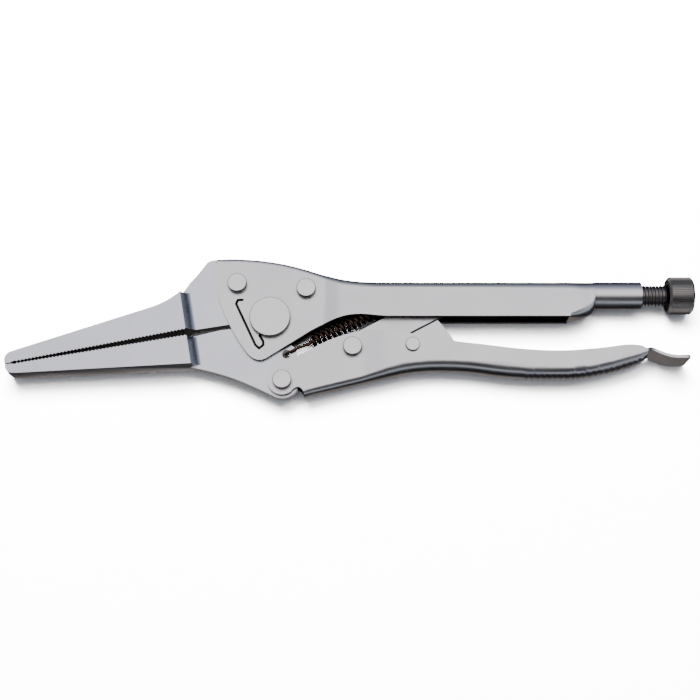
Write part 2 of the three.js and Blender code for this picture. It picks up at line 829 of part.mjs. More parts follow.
const frame = body(
  piece("fixed_handle", fixedHandle(), satinNickel()),
  piece("fixed_jaw", fixedJaw(), forged()),
  piece("jaw_rivet_front", rivet(jawHead, jawShank), rivetSteel(), jawRivetFront),
  piece("jaw_rivet_rear", rivet(jawHead, jawShank), rivetSteel(), jawRivetRear),
  piece("main_pivot_rivet", rivet(mainHead, mainShank), rivetSteel(), origin),
);
const jaw = body(
  piece("moving_jaw", movingJaw(), forged()),
  piece("handle_pivot_rivet", rivet(pivotHead, pivotShank), rivetSteel(), handlePivot),
);
const grip = body(
  piece("moving_handle", movingHandle(), satinNickel()),
  piece("link_rivet", rivet(pivotHead, pivotShank), rivetSteel(), linkPivot),
  piece("lever_rivet", leverRivet(), rivetSteel(), leverPivot),
);
const link = body(piece("toggle_link", toggleLink(), satinNickel()));
const lever = body(piece("release_lever", releaseLever(), satinNickel()));
const adjuster = body(
  alongX(piece("adjusting_screw", screwShank(), darkSteel(), screwPlace)),
  alongX(piece("knurled_knob", knob(), darkSteel(), knobPlace)),
);
const springGroup = body(piece("tension_spring", spring(), springSteel()));

const tool = new THREE.Group().add(frame, jaw, grip, link, lever, adjuster, springGroup);
tool.position.z = stackHalf;

export default new THREE.Group().add(tool);
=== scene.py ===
"""Long-nose locking pliers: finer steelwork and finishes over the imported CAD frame.

Every piece is in metres in the CAD frame: +X along the fixed handle towards the knob,
+Y from the moving handle to the fixed one, +Z up through the thickness.
"""

import math

import bmesh
import bpy
from mathutils import Matrix, Vector


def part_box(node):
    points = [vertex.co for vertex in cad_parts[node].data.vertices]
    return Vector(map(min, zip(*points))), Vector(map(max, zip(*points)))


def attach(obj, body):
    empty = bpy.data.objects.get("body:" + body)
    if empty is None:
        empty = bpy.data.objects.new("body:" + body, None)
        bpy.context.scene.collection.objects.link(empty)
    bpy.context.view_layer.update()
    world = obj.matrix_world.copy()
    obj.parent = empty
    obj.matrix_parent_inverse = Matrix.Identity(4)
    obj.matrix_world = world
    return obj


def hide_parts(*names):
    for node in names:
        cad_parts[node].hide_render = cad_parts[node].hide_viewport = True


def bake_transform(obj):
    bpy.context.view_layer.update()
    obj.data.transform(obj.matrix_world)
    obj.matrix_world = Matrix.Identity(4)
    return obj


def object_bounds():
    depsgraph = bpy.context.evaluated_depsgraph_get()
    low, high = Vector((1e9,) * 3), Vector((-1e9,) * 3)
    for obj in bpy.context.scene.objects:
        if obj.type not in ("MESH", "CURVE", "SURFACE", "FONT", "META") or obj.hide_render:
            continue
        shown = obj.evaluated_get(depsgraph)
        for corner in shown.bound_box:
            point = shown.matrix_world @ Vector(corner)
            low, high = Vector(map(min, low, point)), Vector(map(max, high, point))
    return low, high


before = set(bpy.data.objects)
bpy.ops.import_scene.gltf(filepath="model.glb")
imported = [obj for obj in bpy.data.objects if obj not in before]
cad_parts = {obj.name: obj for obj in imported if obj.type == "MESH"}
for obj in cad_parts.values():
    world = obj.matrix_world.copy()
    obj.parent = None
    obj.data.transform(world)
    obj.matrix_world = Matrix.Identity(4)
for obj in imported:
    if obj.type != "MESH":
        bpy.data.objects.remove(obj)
CAD_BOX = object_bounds()

bl_info = {
    "name": "Long-nose locking pliers",
    "version": (1, 0, 0),
    "blender": (4, 5, 0),
    "location": "3D View > Sidebar > Pliers",
    "description": "Jaws, handles, rivets, screw and spring of locking pliers, in plated finishes",
    "category": "Object",
}

MM = 0.001
MIDPLANE = sum(corner.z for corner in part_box("main_pivot_rivet")) / 2


# ---- Sizes and colours a user would change -------------------------------------------


def length(name, description, millimetres):
    return bpy.props.FloatProperty(
        name=name, description=description, default=millimetres * MM, min=0.0,
        subtype="DISTANCE", unit="LENGTH", precision=5,
    )


def count(name, description, default):
    return bpy.props.IntProperty(name=name, description=description, default=default, min=1)


def hex_colour(name, description, default):
    return bpy.props.StringProperty(name=name, description=description, default=default)


class PLIERS_PG_sizes(bpy.types.PropertyGroup):
    """Sizes of the finer pieces."""

    sheet_edge: length("Sheet edge", "Rounding of the pressed sheet's cut edges", 0.3)
    jaw_edge: length("Jaw edge", "Rounding of the forged jaws' edges", 0.3)
    rivet_edge: length("Rivet edge", "Rounding of the rivet heads", 0.35)
    lever_edge: length("Lever edge", "Rounding of the release lever's edges", 0.22)
    thread_pitch: length("Thread pitch", "Advance of the screw in one turn", 1.25)
    thread_crest: length("Thread crest radius", "Outside radius of the thread", 3.85)
    thread_depth: length("Thread depth", "From crest to root", 0.72)
    thread_length: length("Thread length", "Threaded stretch in front of the knob", 27.0)
    relief_length: length("Thread relief", "Plain neck between the thread and the knob", 0.9)
    knurl_ridges: count("Knurl ridges", "Straight ridges round the knob", 62)
    knurl_depth: length("Knurl depth", "Depth of the knurl's grooves", 0.3)
    knob_chamfer: length("Knob chamfer", "Slope at both ends of the knob", 0.8)
    spring_wire: length("Spring wire", "Thickness of the spring's wire", 1.2)
    spring_turns: count("Spring turns", "Turns in the coil", 13)
    grip_start: length("Grip start", "Main pivot to the first rib under the grip", 92.0)
    grip_ribs: count("Grip ribs", "Ribs pressed across the moving handle's web", 21)
    grip_pitch: length("Grip pitch", "Distance between two ribs", 2.1)
    grip_height: length("Grip height", "Height of a rib", 0.35)
    # painted shade: dark discs round the main pivot on the lower and the upper jaw, where they lie
    # under the cheeks
    hub_shade: length("Hub shade", "Oily ring on the lower jaw, under the cheeks", 12.6)
    tang_shade: length("Tang shade", "The same on the upper jaw", 14.8)


class PLIERS_PG_finish(bpy.types.PropertyGroup):
    """Colours of the finishes, as sRGB hex."""

    nickel: hex_colour("Nickel plate", "Satin nickel on the sheet parts", "C9C7C8")
    nickel_jaw: hex_colour("Jaw plate", "Satin nickel on the forged jaws", "C4C6CC")
    nickel_rivet: hex_colour("Rivet plate", "Plate on the rivets", "CFCCCC")
    screw: hex_colour("Screw steel", "Darker plate on the screw and the knob", "8A8684")
    spring: hex_colour("Spring wire", "Oil-tempered wire", "463228")
    # painted shade: the almost black colour put on shaded inner faces, cut edges, tooth faces, rivet
    # and link sides and round the pivot
    inner: hex_colour("Inner faces", "Oil and plating salts inside the pressings", "1C1A1A")
    floor: hex_colour("Floor", "Pale paper under the tool", "F4F4F4")


def sizes():
    return bpy.context.scene.pliers_sizes


def finish():
    return bpy.context.scene.pliers_finish


# ---- Modelling helpers ----------------------------------------------------------------


def select_only(*objects):
    """Nothing but these objects is selected; the first one is active."""
    bpy.ops.object.select_all(action="DESELECT")
    for obj in objects:
        obj.select_set(True)
    bpy.context.view_layer.objects.active = objects[0]


def edit(obj, kind, chosen=lambda part: True):
    """Enter edit mode on obj with only the FACE, EDGE or VERT parts that chosen accepts selected."""
    select_only(obj)
    bpy.ops.object.mode_set(mode="EDIT")
    bpy.ops.mesh.select_mode(type=kind)
    bpy.ops.mesh.select_all(action="DESELECT")
    mesh = bmesh.from_edit_mesh(obj.data)
    for part in {"FACE": mesh.faces, "EDGE": mesh.edges, "VERT": mesh.verts}[kind]:
        if chosen(part):
            part.select_set(True)
    bmesh.update_edit_mesh(obj.data)


def leave_edit():
    bpy.ops.object.mode_set(mode="OBJECT")


def apply_modifier(obj, kind, **settings):
    """Add a modifier with these settings and apply it."""
    select_only(obj)
    modifier = obj.modifiers.new(kind.title(), kind)
    for name, value in settings.items():
        setattr(modifier, name, value)
    bpy.ops.object.modifier_apply(modifier=modifier.name)


def apply_place(obj):
    """Move the object's place, turn and scale into its mesh."""
    select_only(obj)
    bpy.ops.object.transform_apply(location=True, rotation=True, scale=True)


def smooth(obj, degrees=30):
    """Smooth shading whose large faces stay flat right up to their rounded edges."""
    select_only(obj)
    bpy.ops.object.shade_smooth_by_angle(angle=math.radians(degrees))
    apply_modifier(obj, "WEIGHTED_NORMAL", keep_sharp=True, weight=100)


def joined(name, *objects):
    """One object from several."""
    select_only(*objects)
    bpy.ops.object.join()
    obj = bpy.context.view_layer.objects.active
    obj.name = obj.data.name = name
    return obj


def merged_copy(node, name):
    """A copy of a CAD node's mesh, its loose triangles joined and its flat faces made whole."""
    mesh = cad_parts[node].data.copy()
    mesh.materials.clear()
    obj = bpy.data.objects.new(name, mesh)
    bpy.context.scene.collection.objects.link(obj)
    edit(obj, "FACE")
    bpy.ops.mesh.customdata_custom_splitnormals_clear()
    bpy.ops.mesh.remove_doubles(threshold=0.002 * MM)
    bpy.ops.mesh.dissolve_degenerate(threshold=0.002 * MM)
    bpy.ops.mesh.dissolve_limited(angle_limit=math.radians(0.8))
    leave_edit()
    return obj


def bevelled(obj, width, angle, segments=3):
    """Round the edges that are sharper than the angle, in degrees."""
    apply_modifier(
        obj, "BEVEL", width=width, segments=segments, limit_method="ANGLE",
        angle_limit=math.radians(angle), use_clamp_overlap=True, harden_normals=False,
        miter_outer="MITER_ARC",
    )


def dressed(obj, material, body, slot, *nodes):
    """Give a finished piece its material and its body, and hide the CAD nodes that it stands for."""
    obj.data.materials.clear()
    obj.data.materials.append(material)
    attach(obj, body)
    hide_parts(*nodes)
    return obj


def painted(obj, material, chosen):
    """Give the faces that chosen(centre, normal) accepts a second material."""
    obj.data.materials.append(material)
    slot = len(obj.data.materials) - 1
    for face in obj.data.polygons:
        if chosen(face.center, face.normal):
            face.material_index = slot


# ---- Material helpers -----------------------------------------------------------------


def linear(code):
    """The linear RGBA of an sRGB hex colour."""
    parts = [int(code[i : i + 2], 16) / 255 for i in (0, 2, 4)]
    return [p / 12.92 if p <= 0.04045 else ((p + 0.055) / 1.055) ** 2.4 for p in parts] + [1.0]


def add(tree, kind, links=None, **settings):
    """Add a node; settings name its sockets or properties, links its sockets' sources."""
    node = tree.nodes.new(kind)
    for name, value in settings.items():
        socket = node.inputs.get(name.replace("_", " ").title())
        if socket is not None:
            socket.default_value = value
        else:
            setattr(node, name, value)
    for name, source in (links or {}).items():
        tree.links.new(source, node.inputs[name])
    return node


def metal(name, code, roughness, grain_mm, grain_strength, hub_shade=0.0):
    """Plated steel: metallic, its roughness and relief broken up by a grain of a real size.

    Within hub_shade of the main pivot the plate gives way to painted shade in the inner colour.
    """
    material = bpy.data.materials.new(name)
    material.use_nodes = True
    tree = material.node_tree
    tree.nodes.clear()
    output = add(tree, "ShaderNodeOutputMaterial")
    place = add(tree, "ShaderNodeTexCoord")
    # fine grain: the blasted surface under the plate, which only softens the highlights
    grain = add(
        tree, "ShaderNodeTexNoise", {"Vector": place.outputs["Object"]},
        Scale=1 / (grain_mm * MM), Detail=3.0, Roughness=0.55,
    )
    # broad cloud: patches of the polish, so that a large face is never quite even
    cloud = add(
        tree, "ShaderNodeTexNoise", {"Vector": place.outputs["Object"]},
        Scale=1 / (14 * MM), Detail=2.0, Roughness=0.5,
    )
    spread = add(
        tree, "ShaderNodeMapRange", {"Value": cloud.outputs["Fac"]},
        From_Min=0.3, From_Max=0.7, To_Min=roughness * 0.9, To_Max=roughness * 1.12,
    )
    tint = add(
        tree, "ShaderNodeMixRGB", {"Fac": cloud.outputs["Fac"]},
        Color1=linear(code), Color2=[0.94 * c for c in linear(code)[:3]] + [1.0],
    )
    colour = tint.outputs["Color"]
    if hub_shade:
        colour = shaded_hub(tree, place, colour, hub_shade)
    bump = add(
        tree, "ShaderNodeBump", {"Height": grain.outputs["Fac"]},
        Strength=grain_strength, Distance=0.02 * MM,
    )
    shader = add(
        tree, "ShaderNodeBsdfPrincipled",
        {
            "Base Color": colour,
            "Roughness": spread.outputs["Result"],
            "Normal": bump.outputs["Normal"],
        },
        Metallic=1.0,
    )
    tree.links.new(shader.outputs["BSDF"], output.inputs["Surface"])
    return material


def shaded_hub(tree, place, colour, radius):
    """The colour, turned to painted shade within radius of the pivot, where the jaws lie under the
    cheeks.
    """
    flat = add(
        tree, "ShaderNodeVectorMath", {0: place.outputs["Object"]}, operation="MULTIPLY"
    )
    flat.inputs[1].default_value = (1, 1, 0)
    reach = add(tree, "ShaderNodeVectorMath", {0: flat.outputs["Vector"]}, operation="LENGTH")
    fade = add(
        tree, "ShaderNodeMapRange", {"Value": reach.outputs["Value"]},
        From_Min=radius - 0.4 * MM, From_Max=radius + 0.4 * MM,
    )
    mixed = add(
        tree, "ShaderNodeMixRGB", {"Fac": fade.outputs["Result"], "Color2": colour},
        Color1=linear(finish().inner),
    )
    return mixed.outputs["Color"]


def material_named(name, maker):
    return bpy.data.materials.get(name) or maker(name)


def satin_nickel():
    """Satin nickel over pressed sheet: soft, even, faintly clouded reflections."""
    return material_named(
        "satin_nickel_sheet",
        lambda name: metal(
            name, finish().nickel, roughness=0.30, grain_mm=0.25, grain_strength=0.10,
        ),
    )


def jaw_nickel(node, shade):
    """Satin nickel over ground forgings: a little cooler and tighter than the sheet, with painted
    shade round the pivot under the cheeks.
    """
    return material_named(
        "satin_nickel_" + node,
        lambda name: metal(
            name, finish().nickel_jaw, roughness=0.27, grain_mm=0.25, grain_strength=0.08,
            hub_shade=shade,
        ),
    )


def rivet_nickel():
    """Plate over turned rivet heads: the palest faces on the tool."""
    return material_named(
        "satin_nickel_rivet",
        lambda name: metal(
            name, finish().nickel_rivet, roughness=0.28, grain_mm=0.3, grain_strength=0.08,
        ),
    )


def screw_steel():
    """Rolled and zinc-darkened screw steel: greyer and rougher."""
    return material_named(
        "dark_plated_screw_steel",
        lambda name: metal(
            name, finish().screw, roughness=0.36, grain_mm=0.3, grain_strength=0.15,
        ),
    )


def painted_shade():
    """Painted shade: an almost black plate on channel insides, cut edges, tooth faces and the sides of
    rivets, link and lever, which are nickel like the rest.
    """
    return material_named(
        "painted_shade_plate",
        lambda name: metal(
            name, finish().inner, roughness=0.45, grain_mm=0.4, grain_strength=0.10,
        ),
    )


def spring_steel():
    """Oil-tempered music wire: bronze brown with a hard bright glint along each turn."""
    return material_named(
        "oil_tempered_spring_wire",
        lambda name: metal(
            name, finish().spring, roughness=0.26, grain_mm=0.3, grain_strength=0.05,
        ),
    )


# ---- Pieces ---------------------------------------------------------------------------


class PLIERS_OT_jaws(bpy.types.Operator):
    """Forged jaws with eased edges"""

    bl_idname = "pliers.jaws"
    bl_label = "Jaws"

    def execute(self, context):
        for node, body in (("fixed_jaw", "fixed_side"), ("moving_jaw", "jaw")):
            jaw = merged_copy(node, node + "_forging")
            bevelled(jaw, sizes().jaw_edge, angle=40, segments=2)
            smooth(jaw, degrees=32)
            # painted shade round the pivot, where the cheeks cover the jaw
            shade = sizes().tang_shade if body == "fixed_side" else sizes().hub_shade
            dressed(jaw, jaw_nickel(node, shade), body, "plated_jaw", node)
            # painted shade: faces across the parting line made almost black, for the shaded gap
            # between the jaws
            painted(jaw, painted_shade(), self.toothed(1 if body == "fixed_side" else -1))
        return {"FINISHED"}

    def toothed(self, side):
        """Whether a face looks across the parting line, in front of the cheeks."""
        droop = math.radians(10.15)
        across = Vector((-math.sin(droop), math.cos(droop), 0))
        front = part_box("fixed_handle")[0].x
        return lambda centre, normal: centre.x < front and side * normal.dot(across) < -0.3


class PLIERS_OT_handles(bpy.types.Operator):
    """Pressed sheet handles with rounded cut edges"""

    bl_idname = "pliers.handles"
    bl_label = "Handles"

    def execute(self, context):
        for node, body in (("fixed_handle", "fixed_side"), ("moving_handle", "grip")):
            handle = merged_copy(node, node + "_pressing")
            if node == "moving_handle":
                self.press_ribs(handle)
            bevelled(handle, sizes().sheet_edge, angle=40, segments=2)
            smooth(handle, degrees=32)
            dressed(handle, satin_nickel(), body, "satin_nickel", node)
            open_side = -1 if node == "fixed_handle" else 1
            # painted shade: channel insides and cut edges made almost black, for the shade inside the
            # channel and the dark lines along the edges
            painted(handle, painted_shade(), self.inside(open_side))
        return {"FINISHED"}

    def inside(self, open_side):
        """Whether a face lies inside the channel or is a cut edge of its sheet."""
        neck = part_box("fixed_handle")[1].x - 27.5 * MM  # where the fixed handle closes to its tube
        ears = 12.4 * MM  # where the moving handle's ears end and its web starts
        web = 2.05 * MM  # half the width of the web's inner face
        sheet = 5.1 * MM  # half the narrow channels' height, outside

        def chosen(centre, normal):
            off = centre.z - MIDPLANE
            wall = normal.z * off < -0.3 * abs(off)
            floor = abs(off) < web and normal.y * open_side > 0.3
            edge = abs(normal.z) < 0.95 and abs(off) < sheet and self.is_cut(normal, off)
            cut = normal.y < 0.1 if open_side < 0 else normal.y > 0.3 or centre.x < ears
            hidden = wall or floor
            return centre.x < neck and (hidden or edge and cut) or open_side > 0 and hidden

        return chosen

    def is_cut(self, normal, off):
        """Cut edges and their rounding; the bends of the sheet turn towards its web."""
        return abs(normal.z) < 0.3 or normal.z * off > 0

    def press_ribs(self, handle):
        """Cross ribs on the web: cut it at every crest and root, then swell the crests."""
        s = sizes()
        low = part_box("moving_handle")[0].y

        lead = 8 * MM  # plain web in front of the first rib, cut too so that the rib can fade

        def belly(face):
            return face.normal.y < -0.12 and face.calc_center_median().x > s.grip_start - lead

        cuts = [s.grip_start + i * s.grip_pitch / 2 for i in range(2 * s.grip_ribs + 1)]
        for x in cuts:
            edit(handle, "FACE", belly)
            bpy.ops.mesh.bisect(plane_co=(x, low, MIDPLANE), plane_no=(1, 0, 0))
            leave_edit()
        crests = cuts[1::2]

        def on_crest(vert):
            near = min(abs(vert.co.x - x) for x in crests) < 0.05 * MM
            return near and vert.normal.y < -0.7

        edit(handle, "VERT", on_crest)
        bpy.ops.transform.shrink_fatten(value=s.grip_height)
        leave_edit()


class PLIERS_OT_toggle(bpy.types.Operator):
    """Toggle link and release lever"""

    bl_idname = "pliers.toggle"
    bl_label = "Toggle link and lever"

    def execute(self, context):
        link = merged_copy("toggle_link", "toggle_link_plate")
        bevelled(link, sizes().sheet_edge, angle=40, segments=2)
        smooth(link)
        dressed(link, satin_nickel(), "link", "satin_nickel", "toggle_link")
        # painted shade: the link's sides and edge roundings made almost black
        painted(link, painted_shade(), lambda centre, normal: abs(normal.z) < 0.95)
        lever = merged_copy("release_lever", "release_lever_pressing")
        bevelled(lever, sizes().lever_edge, angle=40, segments=2)
        smooth(lever)
        dressed(lever, satin_nickel(), "lever", "lever_steel", "release_lever")
        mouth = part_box("toggle_link")[1].x - 9 * MM  # the lever's sides beside the link, no further
        # painted shade: the lever's sides beside the link made almost black
        painted(
            lever, painted_shade(),
            lambda centre, normal: centre.x < mouth and abs(normal.z) < 0.3 and normal.x < 0.2,
        )
        return {"FINISHED"}


class PLIERS_OT_rivets(bpy.types.Operator):
    """Shouldered rivets with rounded, faintly crowned heads"""

    bl_idname = "pliers.rivets"
    bl_label = "Rivets"

    def execute(self, context):
        rivets = {
            "main_pivot_rivet": "fixed_side",
            "jaw_rivet_front": "fixed_side",
            "jaw_rivet_rear": "fixed_side",
            "handle_pivot_rivet": "jaw",
            "link_rivet": "grip",
            "lever_rivet": "grip",
        }
        for node, body in rivets.items():
            rivet = self.rivet(node)
            dressed(rivet, rivet_nickel(), body, "rivet_steel", node)
            # painted shade: the rivets' sides made almost black, for the shaded gap round each head
            painted(rivet, painted_shade(), lambda centre, normal: abs(normal.z) < 0.7)
        return {"FINISHED"}

    def is_cap(self, face, end):
        """The shank's own end, and not the flat underside of the head already made."""
        return face.normal.z * end > 0.9 and face.calc_center_median().xy.length < 0.01 * MM

    def rivet(self, node):
        """A shank with a head extruded from each end, all from the CAD rivet's own box."""
        low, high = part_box(node)
        centre = (low + high) / 2
        head = (high.x - low.x) / 2
        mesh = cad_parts[node].data
        inner = min(
            abs(v.co.z - centre.z) for v in mesh.vertices
            if (v.co.xy - centre.xy).length > 0.97 * head
        )
        shank = min(
            (v.co.xy - centre.xy).length for v in mesh.vertices
            if abs(abs(v.co.z - centre.z) - inner) < 0.01 * MM
        )
        bpy.ops.object.select_all(action="DESELECT")
        bpy.ops.mesh.primitive_cylinder_add(
            vertices=72, radius=shank, depth=2 * inner, location=centre
        )
        obj = bpy.context.active_object
        obj.name = obj.data.name = node + "_turned"
        rise = (high.z - low.z) / 2 - inner
        for end in (-1, 1):
            edit(obj, "FACE", lambda face: self.is_cap(face, end))
            grow = head / shank
            bpy.ops.mesh.extrude_region_move()
            bpy.ops.transform.resize(value=(grow, grow, 1))
            bpy.ops.mesh.extrude_region_move(
                TRANSFORM_OT_translate={"value": (0, 0, end * rise)}
            )
            leave_edit()
        bevelled(obj, sizes().rivet_edge, angle=50, segments=4)
        apply_place(obj)
        smooth(obj, degrees=35)
        return obj


class PLIERS_OT_screw(bpy.types.Operator):
    """Adjusting screw with a rolled helical thread"""

    bl_idname = "pliers.screw"
    bl_label = "Adjusting screw"

    def execute(self, context):
        low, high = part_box("adjusting_screw")
        axis = (low + high) / 2
        knob_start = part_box("knurled_knob")[0].x
        s = sizes()
        thread_end = knob_start - s.relief_length
        thread_start = knob_start - s.thread_length
        thread = self.thread(thread_start, thread_end, axis)
        root = s.thread_crest - s.thread_depth
        lap = 0.4 * MM  # how far each plain stretch runs into the thread
        front = self.shank(low.x, thread_start + lap, 0.74 * root, axis)
        neck = self.shank(thread_end - lap, knob_start - 0.1 * MM, root - 0.15 * MM, axis)
        screw = joined("adjusting_screw_thread", thread, front, neck)
        dressed(screw, screw_steel(), "screw", "screw_steel", "adjusting_screw")
        return {"FINISHED"}

    def thread(self, start, end, axis):
        """One turn of the thread's outline, swept by a Screw modifier and cut square."""
        s = sizes()
        pitch, crest, depth = s.thread_pitch, s.thread_crest, s.thread_depth
        outline = [(0, depth), (0.22, depth), (0.5, 0), (0.64, 0), (1, depth)]
        mesh = bpy.data.meshes.new("thread")
        mesh.from_pydata(
            [(x * pitch, 0, crest - drop) for x, drop in outline],
            [(i, i + 1) for i in range(len(outline) - 1)], [],
        )
        obj = bpy.data.objects.new("thread", mesh)
        bpy.context.scene.collection.objects.link(obj)
        turns = math.ceil((end - start) / pitch) + 1
        apply_modifier(
            obj, "SCREW", axis="X", screw_offset=pitch, iterations=turns, steps=36,
            render_steps=36, use_merge_vertices=True, merge_threshold=0.01 * MM,
        )
        obj.location = (start - 0.6 * pitch, axis.y, axis.z)
        apply_place(obj)
        for x, side in ((start, -1), (end, 1)):
            edit(obj, "FACE")
            bpy.ops.mesh.remove_doubles(threshold=0.01 * MM)
            bpy.ops.mesh.select_all(action="SELECT")
            bpy.ops.mesh.bisect(
                plane_co=(x, axis.y, axis.z), plane_no=(side, 0, 0),
                use_fill=True, clear_outer=True,
            )
            leave_edit()
        edit(obj, "FACE")
        bpy.ops.mesh.normals_make_consistent(inside=False)
        leave_edit()
        smooth(obj, degrees=28)
        return obj

    def shank(self, start, end, radius, axis):
        """A plain stretch of the screw with rounded ends."""
        bpy.ops.object.select_all(action="DESELECT")
        bpy.ops.mesh.primitive_cylinder_add(
            vertices=48, radius=radius, depth=end - start,
            location=((start + end) / 2, axis.y, axis.z), rotation=(0, math.pi / 2, 0),
        )
        obj = bpy.context.active_object
        apply_place(obj)
        bevelled(obj, min(0.3 * radius, 0.3 * (end - start)), angle=50, segments=3)
        smooth(obj, degrees=35)
        return obj


class PLIERS_OT_knob(bpy.types.Operator):
    """Knob with a straight knurl between two plain chamfers"""

    bl_idname = "pliers.knob"
    bl_label = "Knurled knob"

    def execute(self, context):
        s = sizes()
        low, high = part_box("knurled_knob")
        centre = (low + high) / 2
        radius = (high.z - low.z) / 2
        drum = high.x - low.x - 2 * s.knob_chamfer
        bpy.ops.object.select_all(action="DESELECT")
        bpy.ops.mesh.primitive_cylinder_add(
            vertices=4 * s.knurl_ridges, radius=radius, depth=drum, location=centre,
            rotation=(0, math.pi / 2, 0),
        )
        knob = bpy.context.active_object
        knob.name = knob.data.name = "knurled_knob_turned"
        apply_place(knob)
        select_only(knob)
        bpy.ops.object.origin_set(type="ORIGIN_GEOMETRY")
        self.cut_knurl(knob, radius)
        for end in (-1, 1):
            self.end_face(knob, end, radius)
        apply_place(knob)
        smooth(knob, degrees=24)
        dressed(knob, screw_steel(), "knob", "knob_steel", "knurled_knob")
        return {"FINISHED"}

    def cut_knurl(self, knob, radius):
        """Two of every four lengthways edges are pressed in, which leaves square ridges."""
        ridges = sizes().knurl_ridges
        turn = 2 * math.pi / ridges

        def in_groove(edge):
            a, b = (v.co for v in edge.verts)
            if abs(a.x - b.x) < 0.1 * MM:
                return False
            step = round((math.atan2(a.y, a.z) % (2 * math.pi)) / (turn / 4))
            return step % 4 in (0, 1)

        edit(knob, "EDGE", in_groove)
        shrink = (radius - sizes().knurl_depth) / radius
        bpy.ops.transform.resize(value=(1, shrink, shrink))
        leave_edit()

    def end_face(self, knob, end, radius):
        """A plain collar, a chamfer and a shallow dished face on one end."""
        s = sizes()
        edit(knob, "FACE", lambda face: face.normal.x * end > 0.9)
        core = radius - s.knurl_depth
        bpy.ops.mesh.extrude_region_move(
            TRANSFORM_OT_translate={"value": (end * s.knob_chamfer, 0, 0)}
        )
        narrow = (core - s.knob_chamfer) / core
        bpy.ops.transform.resize(value=(1, narrow, narrow))
        rim, dish_wall, dish_depth = 0.9 * MM, 0.35 * MM, 0.2 * MM
        bpy.ops.mesh.inset(thickness=rim)
        bpy.ops.mesh.inset(thickness=dish_wall, depth=-dish_depth)
        leave_edit()


class PLIERS_OT_spring(bpy.types.Operator):
    """Tension spring: a close coil with a long hook at the jaw and a short one behind"""

    bl_idname = "pliers.spring"
    bl_label = "Tension spring"

    def execute(self, context):
        wire = sizes().spring_wire / 2
        start = Vector((15.2 * MM, -8.0 * MM, MIDPLANE))
        end = Vector((38.4 * MM, 3.35 * MM, MIDPLANE))
        low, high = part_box("tension_spring")
        outer = (high.z - low.z) / 2
        reach = outer - wire
        coil = self.coil(start, end, reach, wire)
        # from the first turn forwards, over the jaw and down through its hole
        front = self.wire(
            "front_hook", wire,
            (15.2, -8.0, 2.3), (14.3, -9.6, 1.9), (13.2, -9.9, 2.3), (10.4, -10.9, 2.5),
            (7.6, -12.5, 2.5), (6.3, -13.1, 2.2), (6.0, -13.2, 1.2), (6.0, -13.2, -1.6),
        )
        # from the last turn backwards to the tab under the handle's web
        back = self.wire(
            "back_hook", wire,
            (38.4, 3.35, 2.3), (39.6, 4.0, 1.9), (40.6, 4.6, 0.9), (41.4, 5.4, 0.0),
            (42.0, 6.6, 0.0),
        )
        spring = joined("tension_spring_coil", coil, front, back)
        smooth(spring, degrees=60)
        spring.data.materials.clear()
        spring.data.materials.append(spring_steel())
        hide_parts("tension_spring")
        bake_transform(spring)
        return {"FINISHED"}

    def wire(self, name, radius, *points):
        """A round wire through points in mm, whose heights are above the middle plane."""
        curve = bpy.data.curves.new(name, "CURVE")
        curve.dimensions = "3D"
        curve.bevel_depth = radius * 0.96
        curve.bevel_resolution = 3
        curve.use_fill_caps = True
        path = curve.splines.new("NURBS")
        path.points.add(len(points) - 1)
        for knot, (x, y, z) in zip(path.points, points):
            knot.co = (x * MM, y * MM, MIDPLANE + z * MM, 1)
        path.use_endpoint_u = True
        path.order_u = 3
        obj = bpy.data.objects.new(name, curve)
        bpy.context.scene.collection.objects.link(obj)
        select_only(obj)
        bpy.ops.object.convert(target="MESH")
        return obj

    def coil(self, start, end, radius, wire):
        """The wire's section swept round the axis from start to end, its ends closed."""
        turns = sizes().spring_turns
        run = (end - start).length
        bpy.ops.object.select_all(action="DESELECT")
        bpy.ops.mesh.primitive_circle_add(vertices=10, radius=wire, rotation=(math.pi / 2, 0, 0))
        obj = bpy.context.active_object
        apply_place(obj)
        obj.location = (0, 0, radius)
        apply_place(obj)
        apply_modifier(
            obj, "SCREW", axis="X", screw_offset=run / turns, iterations=turns, steps=28,
            render_steps=28, use_smooth_shade=True,
        )
        select_only(obj)
        bpy.ops.object.mode_set(mode="EDIT")
        bpy.ops.mesh.select_all(action="DESELECT")
        bpy.ops.mesh.select_mode(type="EDGE")
        bpy.ops.mesh.select_non_manifold()
        bpy.ops.mesh.edge_face_add()
        bpy.ops.mesh.select_all(action="SELECT")
        bpy.ops.mesh.normals_make_consistent(inside=False)
        leave_edit()
        slope = math.atan2(end.y - start.y, end.x - start.x)
        obj.matrix_world = Matrix.Translation(start) @ Matrix.Rotation(slope, 4, "Z")
        apply_place(obj)
        return obj


# ---- Stage ----------------------------------------------------------------------------


